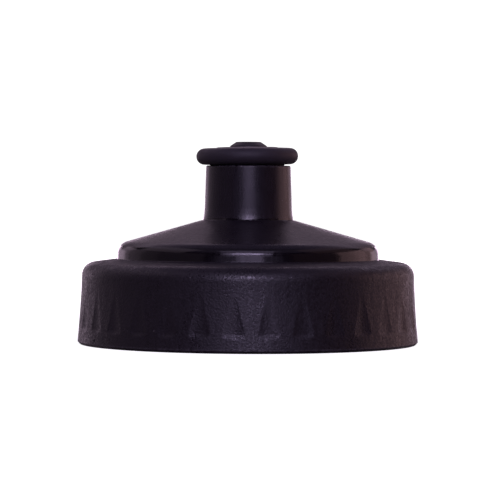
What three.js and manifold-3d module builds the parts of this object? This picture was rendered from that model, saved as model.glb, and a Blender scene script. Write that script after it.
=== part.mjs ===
// Push-pull drinking cap for a wide-mouth sports bottle.
//
// Millimetres, +Z up. The origin is the centre of the skirt's bottom rim, so the cap
// stands on z = 0, and Z is the axis that everything turns about. The cap is shown shut:
// the drinking nozzle is pushed down, and the tip of the centre plug fills its hole.
//
// Four pieces: the screw cap (skirt, shoulder, cone and chimney in one moulding), the
// gasket under its shoulder, the centre plug that clips in from below, and the nozzle
// that slides in the chimney.

import * as THREE from 'three';
import { mergeVertices } from 'three/addons/utils/BufferGeometryUtils.js';
import Module from 'manifold-3d';

const wasm = await Module();
wasm.setup();

// ---------------------------------------------------------------- driving dimensions

const clearance = 0.3;      // gap between pieces that touch or slide on the real cap
const capSides = 60;        // facets round the large pieces
const smallSides = 40;      // facets round the nozzle and the plug

const skirt = {
  rimRadius: 35.0,          // widest, at the bottom rim
  topRadius: 34.15,         // where the wall meets the shoulder's rounding
  flareHeight: 6.5,         // below this the wall flares out faster
  flareRadius: 34.5,
  topHeight: 14.0,
  boreRadius: 31.8,         // clears a 63 mm bottle neck
  rimEdge: 0.5,             // broken edges of the bottom rim
};

const shoulder = {
  rounding: 2.8,
  slope: 7.5,               // degrees, falling outwards
  underside: 14.4,          // flat ceiling that the gasket lies against
};

const step = {
  radius: 26.9,             // upright wall between the shoulder and the cone
  topRadius: 26.77,
  height: 18.55,            // where the wall turns into the rounding
  rounding: 2.6,
  wall: 1.75,
  ribFoot: 12.0,            // the wall runs down inside as a rib that centres the gasket
};

const cone = {
  slope: 16,                // degrees
  wall: 1.6,
};

const chimney = {
  footRadius: 9.33,         // where the cone meets the flared foot
  footHeight: 25.45,
  flareTop: 28.2,           // the foot's hollow curve ends here
  bodyRadius: 9.0,
  topRadius: 8.72,
  topHeight: 36.6,
  edge: 0.3,
  boreRadius: 7.8,
  lipRadius: 7.3,           // ring inside the mouth that keeps the nozzle in
  lipFoot: 33.8,
  lipTop: 34.9,
  mouthRadius: 7.95,
  bossRadius: 9.3,          // end of the bore under the cone, where the plug's foot sits
  bossHeight: 22.4,
};

const thread = {
  pitch: 4.23,              // six turns to the inch
  turns: 1.3,
  depth: 1.2,
  rootWidth: 2.6,
  crestWidth: 1.0,
  startHeight: 2.4,         // middle of the ridge at its lower end
  stepsPerTurn: 40,
  runOut: 24,               // degrees over which each end sinks into the wall
};

const pockets = {
  count: 32,                // grip pockets: tapered scoops round the skirt
  phase: 6.8,               // degrees from +X to the middle of the first one
  sides: 16,
  // From below: where the sloping foot leaves the wall, where it meets the scoop's
  // floor, and the apex. "reach" is how near the scoop comes to the axis.
  rows: [
    { height: 3.0, reach: 34.86, hollow: 3.4 },
    { height: 3.7, reach: 34.46, hollow: 4.0 },
    { height: 11.4, reach: 34.26, hollow: 0.5 },
  ],
};

const gasket = {
  innerRadius: 26.6,
  outerRadius: skirt.boreRadius - clearance,
  thickness: 1.6,
};

const plug = {
  tipHeight: 41.5,
  tipRadius: 2.5,
  tipBevel: 0.85,           // height of the sloping shoulder round the tip
  headRadius: 3.8,
  headFoot: 38.0,
  shaftRadius: 2.6,
  ringRadius: chimney.boreRadius - clearance,
  ringBore: 6.2,
  ringTop: 24.1,
  footRadius: chimney.bossRadius,
  footThickness: 1.0,
  armWidth: 1.6,
  arms: 3,
};

const nozzle = {
  flangeRadius: 10.48,
  flangeFoot: 36.9,
  flangeTop: 40.2,
  collarRadius: 7.62,       // fills the chimney's mouth when the nozzle is down
  collarFoot: 35.4,
  stemRadius: 7.0,
  beadRadius: 7.5,          // ring at the lower end, caught by the chimney's lip
  beadFoot: 25.0,
  beadTop: 26.4,
  boreRadius: 6.0,
  ceiling: 38.4,            // underside of the end wall that the plug passes through
  holeRadius: 4.1,
  lipRadius: 5.2,           // low raised ring round the hole
  lipSpread: 6.4,
  lipHeight: 0.2,
};

// ------------------------------------------------------------------------ small tools

const radians = THREE.MathUtils.degToRad;

/** A point of an outline: distance from the axis, then height. */
const at = (radius, height) => new THREE.Vector2(radius, height);

/** Points of a round stretch of an outline, from one angle to another, in degrees. */
function arc(centreRadius, centreHeight, radius, from, to, steps = 4) {
  const points = [];
  for (let i = 0; i <= steps; i += 1) {
    const angle = radians(from + ((to - from) * i) / steps);
    points.push(at(centreRadius + radius * Math.cos(angle), centreHeight + radius * Math.sin(angle)));
  }
  return points;
}

/** Turns a closed three.js geometry into a solid that can be joined and cut. */
function solidOf(geometry) {
  const bare = geometry.clone();
  bare.deleteAttribute('normal');
  bare.deleteAttribute('uv');
  const merged = mergeVertices(bare, 1e-5);
  const corners = merged.index.array;
  const kept = [];
  for (let i = 0; i < corners.length; i += 3) {
    const [a, b, c] = corners.slice(i, i + 3);
    if (a !== b && b !== c && c !== a) kept.push(a, b, c);
  }
  return new wasm.Manifold(new wasm.Mesh({
    numProp: 3,
    vertProperties: new Float32Array(merged.attributes.position.array),
    triVerts: new Uint32Array(kept),
  }));
}

/** Revolves an outline about Z. The outline runs anticlockwise, with the axis on its left. */
function revolve(outline, sides) {
  const turned = new THREE.LatheGeometry(outline, sides);
  turned.rotateX(Math.PI / 2);
  return solidOf(turned);
}

/** Revolves an outline that closes on itself, as a ring. */
function revolveRing(outline, sides) {
  return revolve([...outline, outline[0]], sides);
}

/** A box centred on a point, turned about Z by an angle in degrees about the origin. */
function spoke(length, width, height, midRadius, midHeight, angle) {
  const box = new THREE.BoxGeometry(length, width, height);
  box.translate(midRadius, 0, midHeight);
  box.rotateZ(radians(angle));
  return solidOf(box);
}

/** Skins a row of equal loops of points into one closed body with flat ends. */
function skin(loops) {
  const around = loops[0].length;
  const points = loops.flat();
  const faces = [];
  for (let i = 0; i + 1 < loops.length; i += 1) {
    for (let j = 0; j < around; j += 1) {
      const a = i * around + j;
      const b = i * around + ((j + 1) % around);
      faces.push(a, a + around, b, b, a + around, b + around);
    }
  }
  const last = (loops.length - 1) * around;
  for (let j = 1; j + 1 < around; j += 1) {
    faces.push(0, j, j + 1);
    faces.push(last, last + j + 1, last + j);
  }
  const geometry = new THREE.BufferGeometry().setFromPoints(points);
  geometry.setIndex(faces);
  return solidOf(geometry);
}

/** A named mesh of a finished solid in its own moulded plastic. */
function piece(name, solid, look) {
  const { vertProperties, triVerts } = solid.getMesh();
  const geometry = new THREE.BufferGeometry();
  geometry.setAttribute('position', new THREE.BufferAttribute(vertProperties, 3));
  geometry.setIndex(new THREE.BufferAttribute(triVerts, 1));
  geometry.computeVertexNormals();
  const mesh = new THREE.Mesh(geometry, new THREE.MeshStandardMaterial({ ...look, metalness: 0 }));
  mesh.name = name;
  return mesh;
}

// -------------------------------------------------------------------------- screw cap

/** Outside of the cap from the bottom rim up to the chimney's mouth. */
function capOutside() {
  const roundCentre = at(skirt.topRadius - shoulder.rounding, skirt.topHeight);
  const tangent = 90 - shoulder.slope;
  const rounded = arc(roundCentre.x, roundCentre.y, shoulder.rounding, 0, tangent);
  const crown = rounded[rounded.length - 1];
  const stepFoot = crown.y + (crown.x - step.radius) * Math.tan(radians(shoulder.slope));

  const stepCentre = at(step.topRadius - step.rounding, step.height);
  const flareSpan = chimney.flareTop - chimney.footHeight;
  const flareSpread = chimney.footRadius - chimney.bodyRadius;
  const flareRadius = (flareSpan ** 2 + flareSpread ** 2) / (2 * flareSpread);
  const flareAngle = 180 + THREE.MathUtils.radToDeg(Math.asin(flareSpan / flareRadius));

  return [
    at(skirt.rimRadius - skirt.rimEdge, 0),
    at(skirt.rimRadius, skirt.rimEdge),
    at(skirt.flareRadius, skirt.flareHeight),
    ...rounded,
    at(step.radius, stepFoot),
    ...arc(stepCentre.x, stepCentre.y, step.rounding, 0, 90 - cone.slope),
    ...arc(chimney.bodyRadius + flareRadius, chimney.flareTop, flareRadius, flareAngle, 180),
    at(chimney.topRadius, chimney.topHeight - chimney.edge),
    at(chimney.topRadius - chimney.edge, chimney.topHeight),
  ];
}

/** Inside of the cap from the chimney's mouth down to the bottom rim. */
function capInside() {
  const fall = Math.tan(radians(cone.slope));
  const wallDrop = cone.wall / Math.cos(radians(cone.slope));
  const innerStep = step.radius - step.wall;
  const ceilingAt = (radius) => chimney.footHeight - wallDrop - (radius - chimney.footRadius) * fall;
  const ribRadius = gasket.innerRadius - clearance;
  return [
    at(chimney.mouthRadius, chimney.topHeight),
    at(chimney.mouthRadius, chimney.lipTop + 0.4),
    at(chimney.lipRadius, chimney.lipTop),
    at(chimney.lipRadius, chimney.lipFoot + 0.3),
    at(chimney.boreRadius, chimney.lipFoot),
    at(chimney.boreRadius, chimney.bossHeight),
    at(chimney.bossRadius, chimney.bossHeight),
    at(chimney.bossRadius, ceilingAt(chimney.bossRadius)),
    at(innerStep - 1, ceilingAt(innerStep - 1)),
    at(innerStep, ceilingAt(innerStep) - 0.9),
    at(innerStep, step.ribFoot),
    at(ribRadius, step.ribFoot),
    at(ribRadius, shoulder.underside),
    at(skirt.boreRadius, shoulder.underside),
    at(skirt.boreRadius, skirt.rimEdge),
    at(skirt.boreRadius + skirt.rimEdge, 0),
  ];
}

/** The thread's ridge, wound up the inside of the skirt and sinking away at both ends. */
function threadRidge() {
  const steps = Math.round(thread.turns * thread.stepsPerTurn);
  const sweep = thread.turns * 360;
  const root = skirt.boreRadius + 0.4;
  const loops = [];
  for (let i = 0; i <= steps; i += 1) {
    const turned = (sweep * i) / steps;
    const fromEnd = Math.min(turned, sweep - turned);
    const rise = Math.min(1, fromEnd / thread.runOut);
    const crest = skirt.boreRadius + 0.2 - (thread.depth + 0.2) * rise;
    const middle = thread.startHeight + (thread.pitch * turned) / 360;
    const across = new THREE.Vector2(Math.cos(radians(turned)), Math.sin(radians(turned)));
    const corner = (radius, height) => new THREE.Vector3(across.x * radius, across.y * radius, height);
    loops.push([
      corner(root, middle - thread.rootWidth / 2),
      corner(root, middle + thread.rootWidth / 2),
      corner(crest, middle + thread.crestWidth / 2),
      corner(crest, middle - thread.crestWidth / 2),
    ]);
  }
  return skin(loops);
}

/** One grip pocket's cutter: a leaning cone, round side in, standing on a sloping foot. */
function pocketCutter(index) {
  const upright = new THREE.Vector3(0, 0, 1);
  const heading = radians(pockets.phase + (360 * index) / pockets.count);
  const loops = pockets.rows.map(({ height, reach, hollow }) => {
    const loop = [];
    for (let i = 0; i < pockets.sides; i += 1) {
      const angle = Math.PI - (2 * Math.PI * i) / pockets.sides;
      const across = hollow * Math.sin(angle);
      const out = reach + hollow + hollow * Math.cos(angle);
      loop.push(new THREE.Vector3(out, across, height).applyAxisAngle(upright, heading));
    }
    return loop;
  });
  return skin(loops);
}

function screwCap() {
  let cap = revolveRing([...capOutside(), ...capInside()], capSides).add(threadRidge());
  for (let i = 0; i < pockets.count; i += 1) cap = cap.subtract(pocketCutter(i));
  return piece('screw_cap', cap, { color: 0x1b171f, roughness: 0.5 });
}

// ----------------------------------------------------------------------------- gasket

/** A flat soft ring, a little rounded at its edges, between the shoulder and the neck. */
function sealingGasket() {
  const top = shoulder.underside - clearance;
  const foot = top - gasket.thickness;
  const edge = 0.3;
  const outline = [
    at(gasket.innerRadius, foot + edge),
    at(gasket.innerRadius + edge, foot),
    at(gasket.outerRadius - edge, foot),
    at(gasket.outerRadius, foot + edge),
    at(gasket.outerRadius, top),
    at(gasket.innerRadius, top),
  ];
  return piece('sealing_gasket', revolveRing(outline, capSides), { color: 0x2a2a2c, roughness: 0.8 });
}

// ----------------------------------------------------------------------- centre plug

/** The post with its sealing head, on a foot ring that three arms carry. */
function centrePlug() {
  const footTop = chimney.bossHeight - clearance;
  const foot = footTop - plug.footThickness;
  const post = revolve([
    at(0, foot),
    at(plug.shaftRadius + 0.6, foot),
    at(plug.shaftRadius, foot + 2.4),
    at(plug.shaftRadius, plug.headFoot - 1.2),
    at(plug.headRadius, plug.headFoot),
    at(plug.headRadius, plug.tipHeight - plug.tipBevel),
    at(plug.tipRadius, plug.tipHeight),
    at(0, plug.tipHeight),
  ], smallSides);
  const ring = revolveRing([
    at(plug.ringBore, foot),
    at(plug.footRadius, foot),
    at(plug.footRadius, footTop),
    at(plug.ringRadius, footTop),
    at(plug.ringRadius, plug.ringTop),
    at(plug.ringBore, plug.ringTop),
  ], smallSides);

  let whole = post.add(ring);
  const armLength = plug.ringBore + 0.3;
  const armHeight = plug.ringTop - 0.4 - foot;
  for (let i = 0; i < plug.arms; i += 1) {
    const angle = 90 + (360 * i) / plug.arms;
    whole = whole.add(spoke(armLength, plug.armWidth, armHeight, armLength / 2, foot + armHeight / 2, angle));
  }
  return piece('centre_plug', whole, { color: 0x1d1920, roughness: 0.45 });
}

// ------------------------------------------------------------------- drinking nozzle

/** The mouthpiece: a round-edged flange on a hollow stem with a snap bead at its foot. */
function drinkingNozzle() {
  const rounding = (nozzle.flangeTop - nozzle.flangeFoot) / 2;
  const middle = nozzle.flangeFoot + rounding;
  const edgeCentre = nozzle.flangeRadius - rounding;
  const outline = [
    at(nozzle.boreRadius, nozzle.beadFoot),
    at(nozzle.beadRadius - 0.5, nozzle.beadFoot),
    at(nozzle.beadRadius, nozzle.beadFoot + 0.7),
    at(nozzle.beadRadius, nozzle.beadTop - 0.3),
    at(nozzle.stemRadius, nozzle.beadTop),
    at(nozzle.stemRadius, nozzle.collarFoot - 0.5),
    at(nozzle.collarRadius, nozzle.collarFoot),
    at(nozzle.collarRadius, nozzle.flangeFoot),
    ...arc(edgeCentre, middle, rounding, -90, 90, 8),
    at(nozzle.lipSpread, nozzle.flangeTop),
    at(nozzle.lipRadius, nozzle.flangeTop + nozzle.lipHeight),
    at(nozzle.holeRadius + 0.3, nozzle.flangeTop + nozzle.lipHeight),
    at(nozzle.holeRadius, nozzle.flangeTop),
    at(nozzle.holeRadius, nozzle.ceiling),
    at(nozzle.boreRadius, nozzle.ceiling - 0.8),
  ];
  return piece('drinking_nozzle', revolveRing(outline, smallSides), { color: 0x201b24, roughness: 0.42 });
}

// --------------------------------------------------------------------------- assembly

const cap = new THREE.Group();
cap.add(screwCap(), sealingGasket(), centrePlug(), drinkingNozzle());

export default cap;
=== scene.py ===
"""Looks of a push-pull drinking cap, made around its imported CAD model.

Nearly every piece is a fine revolved mesh, and together they stand for the four CAD
nodes. Sizes are in millimetres and are turned into metres where a mesh is made. The
outer sizes come from the CAD boxes, and Z is the axis that everything is turned about.
"""

import math
from collections import namedtuple

import bmesh
import bpy
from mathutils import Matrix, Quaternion, Vector


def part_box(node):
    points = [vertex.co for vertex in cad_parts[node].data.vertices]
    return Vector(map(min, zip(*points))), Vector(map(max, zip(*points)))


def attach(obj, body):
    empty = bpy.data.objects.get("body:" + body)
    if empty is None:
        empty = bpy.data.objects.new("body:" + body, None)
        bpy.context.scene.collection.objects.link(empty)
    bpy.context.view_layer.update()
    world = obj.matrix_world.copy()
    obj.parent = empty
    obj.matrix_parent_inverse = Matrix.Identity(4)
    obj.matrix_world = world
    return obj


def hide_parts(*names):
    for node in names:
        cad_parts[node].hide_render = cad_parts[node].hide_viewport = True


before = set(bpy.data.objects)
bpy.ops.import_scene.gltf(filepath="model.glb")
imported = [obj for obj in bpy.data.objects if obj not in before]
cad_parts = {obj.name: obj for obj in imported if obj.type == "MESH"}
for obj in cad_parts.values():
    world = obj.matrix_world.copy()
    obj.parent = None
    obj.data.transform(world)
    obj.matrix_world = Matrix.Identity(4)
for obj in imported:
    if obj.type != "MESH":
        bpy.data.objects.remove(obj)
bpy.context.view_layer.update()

MM = 0.001

# ------------------------------------------------------------------ driving dimensions


def size_of(node):
    """Radius, lowest height and highest height of a CAD node, in millimetres."""
    low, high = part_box(node)
    return high.x / MM, low.z / MM, high.z / MM


RIM_RADIUS, _, CHIMNEY_TOP = size_of("screw_cap")
GASKET_RADIUS, GASKET_FOOT, GASKET_TOP = size_of("sealing_gasket")
PLUG_RADIUS, PLUG_FOOT, TIP_TOP = size_of("centre_plug")
FLANGE_RADIUS, BEAD_FOOT, LIP_TOP = size_of("drinking_nozzle")

SKIRT_TOP = 14.0            # where the skirt turns into the shoulder's rounding
SKIRT_TOP_RADIUS = 34.15
SKIRT_FLARE = 1.45          # above 1, the wall flares out more towards the rim
RIM_EDGE = 0.5              # broken edges of the bottom rim
SHOULDER_ROUNDING = 2.8
SHOULDER_SLOPE = 7.5        # degrees
STEP_RADIUS = 26.9          # the upright wall between shoulder and cone
STEP_TOP_RADIUS = 26.77
STEP_ROUNDING = 2.6
STEP_WALL = 1.75
CONE_SLOPE = 16             # degrees
CONE_WALL = 1.6
CHIMNEY_FOOT_RADIUS = 9.33
CHIMNEY_FOOT = 25.45
CHIMNEY_FLARE_TOP = 27.7
CHIMNEY_RADIUS = 9.0
CHIMNEY_TOP_RADIUS = 8.72
CHIMNEY_BORE = 7.8
MOUTH_BORE = 7.95           # above the lip that keeps the nozzle in
LIP_BORE = 7.3
NECK_BORE = 31.8            # inside of the skirt
UNDERSIDE = 14.4            # ceiling over the gasket

POCKETS = 32                # grip pockets round the skirt
POCKET_PHASE = 6.8          # degrees from +X to the middle of the first
POCKET_FOOT = 3.05          # where the sloping foot leaves the wall
POCKET_FLOOR = 3.7          # where the floor is deepest
POCKET_APEX = 11.4
POCKET_DEPTH = 0.24
POCKET_WIDTH = 4.3          # at its foot

NOZZLE_SHIFT = -0.12        # the nozzle sits a little off its axis, within its play,
NOZZLE_LEAN = 0.6           # and leans by this many degrees

GRAINED = 0.0               # finishes of the cap's surface, kept on its vertices
RUBBED = 0.35
SATIN = 0.5
POLISHED = 0.75
TURNED = 1.0

GRAIN_END = SKIRT_TOP_RADIUS - SHOULDER_ROUNDING + 0.6     # radius where the grain stops
FOOT_POLISH = 0.45          # height of the glossy band at the chimney's foot
BROW_POLISH = 0.55          # how far the step's gloss reaches in over its rounding
MARGIN = 0.05               # keeps a boundary clear of the spots that lie on it

SCUFFS = (32, -34, 17.3)    # radius, angle and height of a few marks in the plastic
PIT = (RIM_RADIUS, -151, 1.3)
SHINE = (34, -91.6, 15)

# ------------------------------------------------------------------------ small tools

Spot = namedtuple("Spot", "radius height wear gloss")


def at(radius, height, rounding=0.0):
    """A corner of an outline, with the radius that its edge is rounded to."""
    return radius, height, rounding


def soften(corners, gloss=SATIN, closed=True):
    """Rounds each corner of an outline, and marks the small outward edges as worn."""
    spots = []
    count = len(corners)
    for i, (radius, height, rounding) in enumerate(corners):
        here = Vector((radius, height))
        is_end = not closed and i in (0, count - 1)
        if rounding == 0 or is_end:
            spots.append(Spot(radius, height, 0.0, gloss))
            continue
        before = here - Vector(corners[i - 1][:2])
        after = Vector(corners[(i + 1) % count][:2]) - here
        turn = math.atan2(before.cross(after), before.dot(after))
        room = 0.6 * min(before.length, after.length)
        reach = min(rounding * math.tan(abs(turn) / 2), room)
        bend = reach / math.tan(abs(turn) / 2)
        side = math.copysign(1, turn)
        start = here - before.normalized() * reach
        inward = Vector((-before.y, before.x)).normalized() * side
        centre = start + inward * bend
        wear = 1.0 if turn > 0 and rounding < 0.8 else 0.0
        steps = max(3, math.ceil(math.degrees(abs(turn)) / 11))
        for step in range(steps + 1):
            angle = turn * step / steps
            arm = start - centre
            turned = Vector((
                arm.x * math.cos(angle) - arm.y * math.sin(angle),
                arm.x * math.sin(angle) + arm.y * math.cos(angle),
            ))
            spots.append(Spot(*(centre + turned), wear, gloss))
    return spots


def divide(spots, longest=1.2, support=0.2, closed=True):
    """Adds spots along the long stretches of an outline, with one close to each end."""
    made = []
    count = len(spots)
    for i, spot in enumerate(spots):
        made.append(spot)
        if not closed and i == count - 1:
            break
        following = spots[(i + 1) % count]
        length = math.dist(spot[:2], following[:2])
        if length < min(longest, 6 * support):
            continue
        shares = [support / length]
        pieces = math.ceil(length / longest)
        shares += [piece / pieces for piece in range(1, pieces)]
        shares.append(1 - support / length)
        for share in shares:
            radius = spot.radius + (following.radius - spot.radius) * share
            height = spot.height + (following.height - spot.height) * share
            made.append(Spot(radius, height, 0.0, spot.gloss))
    return made


def polar(radius, degrees, height):
    """A point in metres, from a radius and a height in millimetres and an angle."""
    angle = math.radians(degrees)
    return Vector((radius * math.cos(angle), radius * math.sin(angle), height)) * MM


def even(count):
    """Angles of evenly spaced columns, in degrees."""
    return [360 * i / count for i in range(count)]


def lathe(spots, columns, place=polar, closed=True):
    """Revolves an outline about Z. Returns a bmesh with wear and gloss on each vertex."""
    shell = bmesh.new()
    wear = shell.verts.layers.float.new("wear")
    gloss = shell.verts.layers.float.new("gloss")
    grid = []
    for angle in columns:
        column = []
        for spot in spots:
            vertex = shell.verts.new(place(spot.radius, angle, spot.height))
            vertex[wear] = spot.wear
            vertex[gloss] = spot.gloss
            column.append(vertex)
        grid.append(column)
    rows = len(spots) if closed else len(spots) - 1
    for i, column in enumerate(grid):
        beside = grid[(i + 1) % len(grid)]
        for j in range(rows):
            above = (j + 1) % len(spots)
            shell.faces.new((column[j], beside[j], beside[above], column[above]))
    bmesh.ops.remove_doubles(shell, verts=shell.verts, dist=1e-8)
    return shell


def piece(name, shell, material, body, slot, *nodes):
    """Turns a bmesh into a smooth, named piece that rides on a body and stands for nodes."""
    bmesh.ops.recalc_face_normals(shell, faces=shell.faces)
    mesh = bpy.data.meshes.new(name)
    shell.to_mesh(mesh)
    shell.free()
    mesh.polygons.foreach_set("use_smooth", [True] * len(mesh.polygons))
    mesh.materials.append(material)
    made = bpy.data.objects.new(name, mesh)
    bpy.context.scene.collection.objects.link(made)
    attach(made, body)
    if nodes:
        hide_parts(*nodes)
    return made


# ------------------------------------------------------------------------------ camera

CAMERA_DISTANCE = 500       # from the cap's axis
CAMERA_HEIGHT = 30.1
AIM_HEIGHT = 19.25
AIM_SIDE = 0.39
CAMERA_LENS = 174.8         # on a sensor 36 mm wide
CAMERA_ROLL = 0.25          # degrees


def make_camera():
    """The camera of the photograph: low, with a long lens."""
    data = bpy.data.cameras.new("camera")
    data.lens = CAMERA_LENS
    data.sensor_width = 36
    data.clip_start = 0.01
    data.clip_end = 20
    camera = bpy.data.objects.new("camera", data)
    bpy.context.scene.collection.objects.link(camera)
    place = Vector((0, -CAMERA_DISTANCE, CAMERA_HEIGHT)) * MM
    aim = Vector((AIM_SIDE, 0, AIM_HEIGHT)) * MM
    camera.location = place
    camera.rotation_mode = "QUATERNION"
    roll = Quaternion((0, 0, 1), math.radians(CAMERA_ROLL))
    camera.rotation_quaternion = (aim - place).to_track_quat("-Z", "Y") @ roll
    bpy.context.scene.camera = camera


# --------------------------------------------------------------------------- materials


def node(tree, kind, inputs=None, **settings):
    """Adds a shader node. An input may be a plain value or another node's output."""
    made = tree.nodes.new("ShaderNode" + kind)
    for name, value in settings.items():
        setattr(made, name, value)
    for name, value in (inputs or {}).items():
        if isinstance(value, bpy.types.NodeSocket):
            tree.links.new(value, made.inputs[name])
        else:
            made.inputs[name].default_value = value
    return made


def mask(tree, value, low, high, start=0.0, end=1.0):
    """Turns a value between low and high into one between start and end."""
    inputs = {"Value": value, "From Min": low, "From Max": high, "To Min": start, "To Max": end}
    return node(tree, "MapRange", inputs, interpolation_type="SMOOTHSTEP").outputs["Result"]


def maths(tree, operation, first, second=0.0, third=0.0):
    """One step of arithmetic on values."""
    return node(tree, "Math", {0: first, 1: second, 2: third}, operation=operation).outputs[0]


def adjusted(tree, value, *layers):
    """Adds layers to a value, each with the amount that it adds at full strength."""
    for layer, amount in layers:
        value = maths(tree, "MULTIPLY_ADD", layer, amount, value)
    return value


def tint(tree, share, first, second):
    """Mixes two colours by a share between 0 and 1."""
    inputs = {0: share, 6: first, 7: second}
    return node(tree, "Mix", inputs, data_type="RGBA").outputs[2]


def attribute(tree, name):
    """A value stored on the mesh's vertices."""
    return node(tree, "Attribute", attribute_name=name).outputs["Fac"]


def stretched(tree, across, up):
    """Places on the piece in millimetres, scaled across and along the axis."""
    place = node(tree, "TexCoord").outputs["Object"]
    scale = (across / MM, across / MM, up / MM)
    return node(tree, "Mapping", {"Vector": place, "Scale": scale}).outputs["Vector"]


def clouds(tree, across, up, detail=3.0, roughness=0.55, distortion=0.0):
    """Soft noise. The scales say how many blotches there are in a millimetre."""
    inputs = {
        "Vector": stretched(tree, across, up),
        "Scale": 1.0,
        "Detail": detail,
        "Roughness": roughness,
        "Distortion": distortion,
    }
    return node(tree, "TexNoise", inputs).outputs["Fac"]


def specks(tree, spacing, size):
    """Sparse round specks of dust, from the middles of the cells of a Voronoi texture."""
    inputs = {"Vector": stretched(tree, 1 / spacing, 1 / spacing), "Scale": 1.0}
    distance = node(tree, "TexVoronoi", inputs).outputs["Distance"]
    return mask(tree, distance, 0.6 * size / spacing, size / spacing, 1.0, 0.0)


def scratches(tree, across, up, thickness):
    """Thin curving scratches, which follow the middle value of stretched noise."""
    noise = clouds(tree, across, up, detail=1.0, distortion=0.6)
    away = maths(tree, "ABSOLUTE", maths(tree, "SUBTRACT", noise, 0.5))
    return mask(tree, away, 0.3 * thickness, thickness, 1.0, 0.0)


def near(tree, point, inner, outer):
    """1 within the inner distance of a point on the piece, 0 beyond the outer one."""
    place = node(tree, "TexCoord").outputs["Object"]
    inputs = {0: place, 1: point}
    distance = node(tree, "VectorMath", inputs, operation="DISTANCE").outputs["Value"]
    return mask(tree, distance, inner * MM, outer * MM, 1.0, 0.0)


def start_material(name):
    """A new material with an empty Principled shader. Returns it, its tree and shader."""
    material = bpy.data.materials.new(name)
    material.use_nodes = True
    tree = material.node_tree
    return material, tree, tree.nodes["Principled BSDF"]


def connect(tree, shader, **outputs):
    """Links values to the sockets of a shader, by the sockets' names."""
    for name, value in outputs.items():
        tree.links.new(value, shader.inputs[name.replace("_", " ")])


def bumps(tree, layers):
    """Stacks bump layers, each a height and a depth in millimetres."""
    normal = None
    for height, depth in layers:
        inputs = {"Height": height, "Distance": depth * MM}
        if normal is not None:
            inputs["Normal"] = normal
        normal = node(tree, "Bump", inputs).outputs["Normal"]
    return normal


def cap_plastic():
    """Black moulded plastic: a grained, streaky skirt, satin cone and turned chimney."""
    material, tree, shader = start_material("cap_plastic")
    shader.inputs["IOR"].default_value = 1.5
    wear = attribute(tree, "wear")
    gloss = attribute(tree, "gloss")
    grained = mask(tree, gloss, GRAINED, 0.3, 1.0, 0.0)
    turned = mask(tree, gloss, 0.85, TURNED)
    polished = maths(tree, "SUBTRACT", mask(tree, gloss, 0.55, 0.7), turned)

    grain = mask(tree, clouds(tree, 2.3, 2.3, detail=2), 0.36, 0.64)
    blotches = clouds(tree, 0.5, 0.35)
    patches = mask(tree, clouds(tree, 0.16, 0.12, detail=2), 0.3, 0.7, -0.5, 0.5)
    streaks = clouds(tree, 1.1, 0.14)
    lines = clouds(tree, 0.3, 3.2, detail=2)
    mottling = clouds(tree, 1.5, 1.5, detail=2)
    scuffed = near(tree, polar(*SCUFFS), 1, 9)
    scuffs = maths(tree, "MULTIPLY", scuffed, scratches(tree, 0.35, 1.6, 0.02))
    # A small pit near the rim: a real dent and rougher plastic, plus painted shade in its colour
    pit_with_painted_shade = near(tree, polar(*PIT), 0.2, 0.45)
    shine = near(tree, polar(*SHINE), 0.6, 6)
    dust = specks(tree, 3.2, 0.16)

    colour = tint(tree, blotches, (0.008, 0.0062, 0.010, 1), (0.0145, 0.011, 0.017, 1))
    colour = tint(tree, maths(tree, "MULTIPLY", polished, 0.7), colour, (0.003, 0.002, 0.003, 1))
    rubbed = maths(tree, "MULTIPLY", wear, mask(tree, mottling, 0.35, 0.65, 0.2, 0.6))
    lighter = maths(tree, "MAXIMUM", rubbed, maths(tree, "MULTIPLY", scuffs, 0.6))
    colour = tint(tree, lighter, colour, (0.07, 0.065, 0.075, 1))
    colour = tint(tree, maths(tree, "MULTIPLY", dust, 0.5), colour, (0.3, 0.28, 0.3, 1))
    # Painted shade: the pit's near-black colour stands in for the shade inside the small pit,
    # whose dent is only a bump
    colour = tint(tree, pit_with_painted_shade, colour, (0.001, 0.001, 0.001, 1))

    skirt_grain = maths(tree, "MULTIPLY", grain, grained)
    skirt_streaks = maths(tree, "MULTIPLY", streaks, grained)
    turned_lines = maths(tree, "MULTIPLY", lines, turned)
    ring_mottling = maths(tree, "MULTIPLY", mottling, polished)
    rough = adjusted(
        tree,
        mask(tree, gloss, RUBBED, SATIN, 0.55, 0.33),
        (grained, -0.25),
        (skirt_grain, 0.21),
        (turned, -0.05),
        (polished, -0.17),
        (mask(tree, streaks, 0.3, 0.7, -0.5, 0.5), 0.1),
        (patches, 0.06),
        (shine, -0.07),
        (pit_with_painted_shade, 0.4),
    )
    rough = maths(tree, "MAXIMUM", rough, 0.1)
    normal = bumps(tree, [
        (blotches, 0.012),
        (skirt_grain, 0.018),
        (skirt_streaks, 0.025),
        (turned_lines, 0.01),
        (ring_mottling, 0.008),
        (scuffs, -0.01),
        (pit_with_painted_shade, -0.3),
    ])
    connect(tree, shader, Base_Color=colour, Roughness=rough, Normal=normal)
    return material


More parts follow.
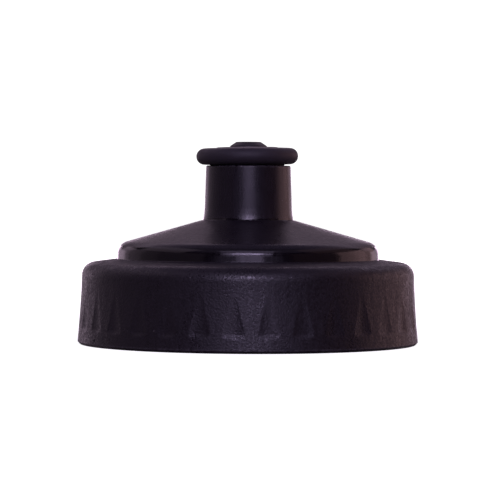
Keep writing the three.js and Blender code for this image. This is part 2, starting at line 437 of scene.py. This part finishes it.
def smooth_plastic(name, dark, light, roughness):
    """Smooth soft plastic with faint flow marks, rubbed a little lighter at its edges."""
    material, tree, shader = start_material(name)
    shader.inputs["IOR"].default_value = 1.5
    blotches = clouds(tree, 0.6, 0.6)
    fine = clouds(tree, 3.5, 3.5, detail=2)
    rubbed = maths(tree, "MULTIPLY", attribute(tree, "wear"), mask(tree, fine, 0.4, 0.7))
    dust = specks(tree, 2.6, 0.14)
    colour = tint(tree, blotches, dark, light)
    colour = tint(tree, maths(tree, "MULTIPLY", rubbed, 0.4), colour, (0.06, 0.055, 0.065, 1))
    colour = tint(tree, maths(tree, "MULTIPLY", dust, 0.5), colour, (0.3, 0.28, 0.3, 1))
    rough = mask(tree, blotches, 0.3, 0.7, roughness - 0.04, roughness + 0.05)
    polished = mask(tree, attribute(tree, "gloss"), SATIN, POLISHED)
    rough = adjusted(tree, rough, (polished, -0.25))
    normal = bumps(tree, [(blotches, 0.015), (fine, 0.004)])
    connect(tree, shader, Base_Color=colour, Roughness=rough, Normal=normal)
    return material


def gasket_rubber():
    """Dull dark rubber with a fine dusty grain."""
    material, tree, shader = start_material("gasket_rubber")
    shader.inputs["IOR"].default_value = 1.45
    dust = clouds(tree, 2.4, 2.4, detail=5)
    dusty = mask(tree, dust, 0.4, 0.75)
    colour = tint(tree, dusty, (0.02, 0.02, 0.021, 1), (0.045, 0.045, 0.046, 1))
    rough = mask(tree, dust, 0.3, 0.7, 0.62, 0.8)
    normal = bumps(tree, [(dust, 0.012)])
    connect(tree, shader, Base_Color=colour, Roughness=rough, Normal=normal)
    return material


# --------------------------------------------------------------------------- screw cap


def skirt_radius(height):
    """Radius of the skirt's wall: nearly upright at the top, flaring out to the rim."""
    fall = (SKIRT_TOP - height) / (SKIRT_TOP - RIM_EDGE)
    return SKIRT_TOP_RADIUS + (RIM_RADIUS - SKIRT_TOP_RADIUS) * fall ** SKIRT_FLARE


def gloss_of(spot):
    """How the mould left the surface at a spot above the skirt."""
    if spot.radius > GRAIN_END:
        return GRAINED
    if spot.height > CHIMNEY_FOOT + FOOT_POLISH:
        return TURNED
    if spot.height > CHIMNEY_FOOT - MARGIN:
        return POLISHED
    if spot.radius > STEP_RADIUS + MARGIN:
        return RUBBED
    if spot.radius > STEP_TOP_RADIUS - BROW_POLISH:
        return POLISHED
    return SATIN


def cap_outside():
    """Outline of the outside, from the bottom rim up to the chimney's mouth."""
    rows = 40
    first = RIM_EDGE + 0.4
    wall = []
    for i in range(rows):
        height = first + (SKIRT_TOP - first) * i / rows
        wall.append(Spot(skirt_radius(height), height, 0.0, GRAINED))

    fall = math.tan(math.radians(SHOULDER_SLOPE))
    crown_radius = SKIRT_TOP_RADIUS - SHOULDER_ROUNDING
    slope_start = math.radians(90 - SHOULDER_SLOPE)
    slope_radius = crown_radius + SHOULDER_ROUNDING * math.cos(slope_start)
    slope_height = SKIRT_TOP + SHOULDER_ROUNDING * math.sin(slope_start)
    corner_height = slope_height - (SKIRT_TOP_RADIUS - slope_radius) * fall
    step_foot = slope_height + (slope_radius - STEP_RADIUS) * fall

    rise = math.tan(math.radians(CONE_SLOPE))
    brow_radius = STEP_TOP_RADIUS - MARGIN
    brow_height = CHIMNEY_FOOT - (brow_radius - CHIMNEY_FOOT_RADIUS) * rise

    rim = soften([
        at(NECK_BORE + RIM_EDGE, 0),
        at(RIM_RADIUS - RIM_EDGE, 0, 0.12),
        at(RIM_RADIUS, RIM_EDGE, 0.2),
        at(wall[0].radius, wall[0].height),
    ], gloss=GRAINED, closed=False)[1:-1]
    shoulder = soften([
        at(SKIRT_TOP_RADIUS, SKIRT_TOP - 3),
        at(SKIRT_TOP_RADIUS, corner_height, SHOULDER_ROUNDING),
        at(STEP_RADIUS + 0.2, step_foot - 0.03, 0.1),
        at(STEP_RADIUS, step_foot - 0.1),
        at(brow_radius, brow_height, STEP_ROUNDING),
        at(CHIMNEY_FOOT_RADIUS, CHIMNEY_FOOT, 0.12),
        at(CHIMNEY_RADIUS + 0.1, CHIMNEY_FOOT + 0.95, 6),
        at(CHIMNEY_RADIUS, CHIMNEY_FLARE_TOP, 6),
        at(CHIMNEY_TOP_RADIUS, CHIMNEY_TOP, 0.3),
        at(CHIMNEY_BORE, CHIMNEY_TOP),
    ], closed=False)[1:-1]
    upper = divide(shoulder, longest=2.4, closed=False)
    return rim + wall + [spot._replace(gloss=gloss_of(spot)) for spot in upper]


def cap_inside():
    """Outline of the inside, from the chimney's mouth down to the bottom rim."""
    fall = math.tan(math.radians(CONE_SLOPE))
    drop = CONE_WALL / math.cos(math.radians(CONE_SLOPE))
    inner_step = STEP_RADIUS - STEP_WALL
    lip_top = CHIMNEY_TOP - 1.7
    boss_radius = PLUG_RADIUS
    boss_height = 22.4
    rib_radius = 26.3
    rib_foot = 12.0

    def ceiling(radius):
        return CHIMNEY_FOOT - drop - (radius - CHIMNEY_FOOT_RADIUS) * fall

    corners = [
        at(MOUTH_BORE, CHIMNEY_TOP, 0.2),
        at(MOUTH_BORE, lip_top + 0.4, 0.2),
        at(LIP_BORE, lip_top, 0.2),
        at(LIP_BORE, lip_top - 0.8, 0.2),
        at(CHIMNEY_BORE, lip_top - 1.1, 0.2),
        at(CHIMNEY_BORE, boss_height, 0.2),
        at(boss_radius, boss_height, 0.2),
        at(boss_radius, ceiling(boss_radius), 0.5),
        at(inner_step, ceiling(inner_step), 1.2),
        at(inner_step, rib_foot, 0.3),
        at(rib_radius, rib_foot, 0.3),
        at(rib_radius, UNDERSIDE, 0.2),
        at(NECK_BORE, UNDERSIDE, 0.4),
        at(NECK_BORE, RIM_EDGE, 0.2),
        at(NECK_BORE + RIM_EDGE, 0, 0.15),
        at(RIM_RADIUS - RIM_EDGE, 0),
    ]
    whole = [at(CHIMNEY_TOP_RADIUS, CHIMNEY_TOP), *corners]
    return divide(soften(whole, closed=False)[1:-1], longest=5, closed=False)


def pocket_share(height):
    """How much of its full size a grip pocket has at a height, from 0 to 1."""
    share = (POCKET_APEX - height) / (POCKET_APEX - POCKET_FLOOR)
    return min(max(share, 0), 1)


def pocket_depth(across, height):
    """Depth of a grip pocket, at a place from -1 to 1 across it."""
    if abs(across) >= 1:
        return 0
    floor = POCKET_DEPTH * pocket_share(height) ** 1.3 * (1 - across ** 2)
    foot = height - POCKET_FOOT - 0.35 * across ** 2
    return max(0, min(floor, foot))


POCKET_PITCH = 360 / POCKETS
POCKET_HALF = math.degrees(POCKET_WIDTH / 2 / SKIRT_TOP_RADIUS)
ACROSS = [-1.07, -1, -0.92, -0.65, -0.22, 0.22, 0.65, 0.92, 1, 1.07, 1.55]


def skirt_columns():
    """Angles of the cap's columns, close together at the edges of the grip pockets."""
    angles = []
    for pocket in range(POCKETS):
        middle = POCKET_PHASE + pocket * POCKET_PITCH
        angles += [middle + across * POCKET_HALF for across in ACROSS]
    return angles


def pocketed(radius, angle, height):
    """Pulls the columns in to the pockets' tapering edges, and sinks the pockets."""
    is_wall = RIM_EDGE < height < SKIRT_TOP and radius > NECK_BORE + 1
    if not is_wall:
        return polar(radius, angle, height)
    turned = (angle - POCKET_PHASE + POCKET_PITCH / 2) % POCKET_PITCH - POCKET_PITCH / 2
    middle = angle - turned
    across = turned / POCKET_HALF
    narrow = 0.12 + 0.88 * pocket_share(height)
    easing = min(1, max(0, (height - POCKET_APEX) / (SKIRT_TOP - POCKET_APEX)))
    narrow += (1 - narrow) * easing
    inside = POCKET_HALF * narrow
    if abs(across) <= 1:
        moved = across * inside
    else:
        beyond = (abs(turned) - POCKET_HALF) / (POCKET_PITCH / 2 - POCKET_HALF)
        moved = math.copysign(inside + (POCKET_PITCH / 2 - inside) * beyond, turned)
    return polar(radius - pocket_depth(across, height), middle + moved, height)


def make_cap(material):
    """The screw cap: skirt, shoulder, step, cone and chimney in one moulding."""
    outline = cap_outside() + cap_inside()
    shell = lathe(outline, skirt_columns(), place=pocketed)
    piece("screw_cap_shell", shell, material, "cap", "cap_plastic", "screw_cap")


THREAD_PITCH = 4.23
THREAD_TURNS = 1.3
THREAD_FOOT = 2.4           # middle of the ridge at its lower end
THREAD_DEPTH = 1.2
THREAD_RUN_OUT = 24         # degrees over which each end sinks into the wall


def make_thread(material):
    """The neck thread: a rounded ridge wound up the inside of the skirt."""
    buried = NECK_BORE + 0.3
    crest = NECK_BORE - THREAD_DEPTH
    section = soften([
        at(buried, -1.45),
        at(buried, 1.45),
        at(NECK_BORE, 1.3, 0.2),
        at(crest, 0.5, 0.3),
        at(crest, -0.5, 0.3),
        at(NECK_BORE, -1.3, 0.2),
    ])
    shell = bmesh.new()
    wear = shell.verts.layers.float.new("wear")
    gloss = shell.verts.layers.float.new("gloss")
    steps = 170
    sweep = 360 * THREAD_TURNS
    loops = []
    for i in range(steps + 1):
        angle = sweep * i / steps
        rise = min(1, min(angle, sweep - angle) / THREAD_RUN_OUT)
        middle = THREAD_FOOT + THREAD_PITCH * angle / 360
        loop = []
        for spot in section:
            radius = buried - (buried - spot.radius) * max(rise, 0.02)
            vertex = shell.verts.new(polar(radius, angle, middle + spot.height))
            vertex[wear] = 0.3
            vertex[gloss] = SATIN
            loop.append(vertex)
        loops.append(loop)
    around = len(section)
    for here, beyond in zip(loops, loops[1:]):
        for j in range(around):
            k = (j + 1) % around
            shell.faces.new((here[j], here[k], beyond[k], beyond[j]))
    shell.faces.new(loops[0])
    shell.faces.new(reversed(loops[-1]))
    piece("neck_thread", shell, material, "cap", "cap_plastic")


# ------------------------------------------------------------------------------ gasket


def make_gasket(material):
    """The gasket: a soft flat ring, with the print of the bottle's rim round its foot."""
    inner = 26.6
    print_height = GASKET_FOOT + 0.18
    outline = divide(soften([
        at(inner, GASKET_FOOT, 0.35),
        at(28.6, GASKET_FOOT, 0.4),
        at(28.9, print_height, 0.4),
        at(30.4, print_height, 0.4),
        at(30.7, GASKET_FOOT, 0.4),
        at(GASKET_RADIUS, GASKET_FOOT, 0.35),
        at(GASKET_RADIUS, GASKET_TOP, 0.25),
        at(inner, GASKET_TOP, 0.25),
    ]))
    shell = lathe(outline, even(200))
    piece("gasket_ring", shell, material, "cap", "gasket_rubber", "sealing_gasket")


# -------------------------------------------------------------------------- centre plug

ARM_TOP = 23.7
ARM_LENGTH = 6.4
ARM_WIDTH = 1.6
POST_RADIUS = 2.6
HEAD_RADIUS = 3.8           # the head that closes the nozzle's hole
TIP_RADIUS = 2.5
RING_BORE = 6.2             # the ring that holds the arms
RING_WAIST = 7.5
RING_TOP = 24.1


def plug_arm(shell, degrees):
    """Adds one arm between the plug's post and its ring: a bar with rounded edges."""
    edge = 0.3
    half = ARM_WIDTH / 2
    section = soften([
        at(-half, PLUG_FOOT, edge),
        at(half, PLUG_FOOT, edge),
        at(half, ARM_TOP, edge),
        at(-half, ARM_TOP, edge),
    ])
    wear = shell.verts.layers.float["wear"]
    gloss = shell.verts.layers.float["gloss"]
    along = Vector((math.cos(math.radians(degrees)), math.sin(math.radians(degrees)), 0))
    across = Vector((-along.y, along.x, 0))
    ends = []
    for distance in (1.0, ARM_LENGTH):
        loop = []
        for spot in section:
            place = along * distance + across * spot.radius + Vector((0, 0, spot.height))
            vertex = shell.verts.new(place * MM)
            vertex[wear] = spot.wear
            vertex[gloss] = SATIN
            loop.append(vertex)
        ends.append(loop)
    near, far = ends
    for j in range(len(section)):
        k = (j + 1) % len(section)
        shell.faces.new((near[j], near[k], far[k], far[j]))
    shell.faces.new(near)
    shell.faces.new(reversed(far))


def make_plug(material):
    """The centre plug: sealing head and dimpled tip on a post, in a clip-in foot ring."""
    foot_top = PLUG_FOOT + 1.0
    post = divide(soften([
        at(0, PLUG_FOOT),
        at(3.2, PLUG_FOOT, 0.3),
        at(POST_RADIUS, PLUG_FOOT + 2.4, 1.0),
        at(POST_RADIUS, TIP_TOP - 4.7, 0.8),
        at(HEAD_RADIUS, TIP_TOP - 3.5, 0.5),
        at(HEAD_RADIUS, TIP_TOP - 0.85, 0.3),
        at(TIP_RADIUS, TIP_TOP, 0.3),
        at(1.6, TIP_TOP - 0.02, 0.4),
        at(0.9, TIP_TOP - 0.28, 0.5),
        at(0, TIP_TOP - 0.3),
    ], closed=False), closed=False)
    ring = divide(soften([
        at(RING_BORE, PLUG_FOOT, 0.2),
        at(PLUG_RADIUS, PLUG_FOOT, 0.2),
        at(PLUG_RADIUS, foot_top, 0.15),
        at(RING_WAIST, foot_top, 0.15),
        at(RING_WAIST, RING_TOP, 0.2),
        at(RING_BORE, RING_TOP, 0.2),
    ]))
    shell = lathe(post, even(96), closed=False)
    piece("plug_post", shell, material, "cap", "plug_plastic", "centre_plug")
    spider = lathe(ring, even(120))
    for i in range(3):
        plug_arm(spider, 90 + 120 * i)
    piece("plug_spider", spider, material, "cap", "plug_plastic")


# ---------------------------------------------------------------------- drinking nozzle

STEM_RADIUS = 7.0
STEM_BORE = 6.0
BEAD_RADIUS = 7.5           # snap bead at the stem's lower end
COLLAR_RADIUS = 7.62        # the step just under the flange
HOLE_RADIUS = 4.1


def leaning(radius, degrees, height):
    """A point of the nozzle, which sits a little crooked in the chimney."""
    pivot = Vector((0, 0, BEAD_FOOT)) * MM
    tilt = Quaternion((0, 1, 0), math.radians(-NOZZLE_LEAN))
    tilted = tilt @ (polar(radius, degrees, height) - pivot) + pivot
    return tilted + Vector((NOZZLE_SHIFT, 0, 0)) * MM


def make_nozzle(material):
    """The mouthpiece: a round-edged flange on a hollow stem, with a snap bead below."""
    flange_top = LIP_TOP - 0.2
    flange_foot = LIP_TOP - 3.55
    collar_foot = flange_foot - 1.45
    ceiling = LIP_TOP - 2.0
    nose = (flange_top - flange_foot) / 2 - 0.02
    outline = soften([
        at(STEM_BORE, BEAD_FOOT, 0.2),
        at(STEM_RADIUS, BEAD_FOOT, 0.2),
        at(BEAD_RADIUS, BEAD_FOOT + 0.7, 0.3),
        at(BEAD_RADIUS, BEAD_FOOT + 1.2, 0.3),
        at(STEM_RADIUS, BEAD_FOOT + 1.4, 0.2),
        at(STEM_RADIUS, collar_foot - 0.5, 0.3),
        at(COLLAR_RADIUS, collar_foot, 0.2),
        at(COLLAR_RADIUS, flange_foot, 0.25),
        at(FLANGE_RADIUS, flange_foot, nose),
        at(FLANGE_RADIUS, flange_top, nose),
        at(6.6, flange_top, 0.3),
        at(6.15, LIP_TOP, 0.2),
        at(HOLE_RADIUS, LIP_TOP, 0.25),
        at(HOLE_RADIUS, ceiling, 0.2),
        at(STEM_BORE, ceiling - 0.8, 0.3),
    ])
    lipped = [
        spot._replace(gloss=POLISHED) if spot.height > flange_top - 0.35 else spot
        for spot in outline
    ]
    shell = lathe(divide(lipped, longest=0.8), even(180), place=leaning)
    piece("nozzle_mouthpiece", shell, material, "nozzle", "nozzle_plastic", "drinking_nozzle")


# ------------------------------------------------------------------- stage and lighting

LIGHT_DISTANCE = 800
LIGHT_AIM = 20              # height on the cap that the lights are aimed at


def make_floor():
    """A plain pale floor, a little dimmer near the cap and white beyond it."""
    material, tree, shader = start_material("pale_floor")
    shader.inputs["Base Color"].default_value = (0.9, 0.9, 0.9, 1)
    shader.inputs["Roughness"].default_value = 0.9
    shader.inputs["Emission Color"].default_value = (1, 1, 1, 1)
    place = node(tree, "TexCoord").outputs["Object"]
    away = node(tree, "VectorMath", {0: place}, operation="LENGTH").outputs["Value"]
    connect(tree, shader, Emission_Strength=mask(tree, away, 0.04, 0.16, 0.88, 1.05))
    floor = bmesh.new()
    bmesh.ops.create_circle(floor, cap_ends=True, radius=6, segments=64)
    mesh = bpy.data.meshes.new("floor")
    floor.to_mesh(mesh)
    floor.free()
    mesh.materials.append(material)
    made = bpy.data.objects.new("floor", mesh)
    made.visible_glossy = False
    made.visible_diffuse = False
    made.visible_shadow = False
    bpy.context.scene.collection.objects.link(made)


def soft_light(name, around, up, width, height, radiance, colour):
    """A soft box aimed at the cap, at an angle round from the camera and an elevation.

    Its width and height are the angles that it fills, in degrees. Its power follows from
    its radiance and its area, so that a larger one isn't dimmer.
    """
    distance = LIGHT_DISTANCE * MM
    aim = Vector((0, 0, LIGHT_AIM)) * MM
    turn = math.radians(around)
    lift = math.radians(up)
    level = Vector((math.sin(turn), -math.cos(turn), 0))
    away = level * math.cos(lift) + Vector((0, 0, math.sin(lift)))
    light = bpy.data.lights.new(name, "AREA")
    light.shape = "RECTANGLE"
    light.size = 2 * distance * math.tan(math.radians(width / 2))
    light.size_y = 2 * distance * math.tan(math.radians(height / 2))
    light.energy = radiance * math.pi * light.size * light.size_y
    light.color = colour
    made = bpy.data.objects.new(name, light)
    made.location = aim + away * distance
    made.rotation_mode = "QUATERNION"
    made.rotation_quaternion = (-away).to_track_quat("-Z", "Y")
    made.visible_camera = False
    bpy.context.scene.collection.objects.link(made)


COOL = (0.76, 0.62, 1.0)
WARM = (1.0, 0.6, 0.64)
PALE = (1.0, 0.76, 0.98)


def make_lights():
    """Soft boxes in front and round the sides, a pale wall, and light off the floor."""
    soft_light("front_panel", 0, 24, 22, 10, 8.4, COOL)
    soft_light("front_panel_glow", 0, 24, 40, 10, 2.2, COOL)
    soft_light("front_middle", 0, 14, 20, 10, 1.2, COOL)
    soft_light("front_middle_glow", 0, 14, 40, 10, 0.8, COOL)
    soft_light("front_low", 2, 4, 22, 12, 1.35, COOL)
    soft_light("front_low_glow", 0, 4, 56, 12, 0.25, COOL)
    soft_light("front_high", 0, 42, 40, 18, 0.9, COOL)
    soft_light("top", 0, 89, 100, 100, 0.15, COOL)
    soft_light("left_front", -62, 8, 48, 30, 0.1, PALE)
    soft_light("left", -96, 8, 20, 30, 0.15, PALE)
    soft_light("left_back", -116, 8, 20, 30, 0.25, PALE)
    soft_light("left_far", -138, 8, 22, 30, 0.34, PALE)
    soft_light("left_high", -90, 40, 50, 30, 0.37, PALE)
    soft_light("right_front", 62, 8, 48, 30, 0.08, WARM)
    soft_light("right", 96, 8, 20, 30, 0.75, WARM)
    soft_light("right_back", 116, 8, 20, 30, 0.87, WARM)
    soft_light("right_far", 138, 8, 22, 30, 0.42, WARM)
    soft_light("right_high", 90, 40, 50, 30, 0.19, WARM)
    soft_light("wall_middle", 180, 2, 34, 12, 2.9, PALE)
    soft_light("wall_left", 210, 2, 26, 12, 0.55, PALE)
    soft_light("wall_right", 150, 2, 26, 12, 0.5, PALE)
    soft_light("wall_above", 180, 14, 34, 12, 0.36, PALE)
    soft_light("wall_above_wide", 180, 14, 86, 12, 0.1, PALE)
    soft_light("wall_high", 180, 28, 96, 16, 0.2, PALE)
    soft_light("wall_top", 180, 44, 80, 16, 0.72, PALE)
    for around in (45, 135, 225, 315):
        soft_light(f"floor_bounce_{around}", around, -24, 84, 26, 0.14, PALE)


def make_backdrop():
    """A white backdrop that the camera sees and that lights nothing."""
    scene = bpy.context.scene
    world = bpy.data.worlds.new("backdrop")
    scene.world = world
    world.use_nodes = True
    background = world.node_tree.nodes["Background"]
    background.inputs["Color"].default_value = (1, 1, 1, 1)
    background.inputs["Strength"].default_value = 1.2
    world.cycles_visibility.diffuse = False
    world.cycles_visibility.glossy = False
    scene.view_settings.view_transform = "Standard"


# ---------------------------------------------------------------------------- the scene

make_camera()
black = cap_plastic()
glossy = smooth_plastic("plug_plastic", (0.010, 0.009, 0.011, 1), (0.016, 0.014, 0.017, 1), 0.42)
soft = smooth_plastic("nozzle_plastic", (0.025, 0.021, 0.029, 1), (0.032, 0.027, 0.037, 1), 0.56)
make_cap(black)
make_thread(black)
make_gasket(gasket_rubber())
make_plug(glossy)
make_nozzle(soft)
make_floor()
make_lights()
make_backdrop()
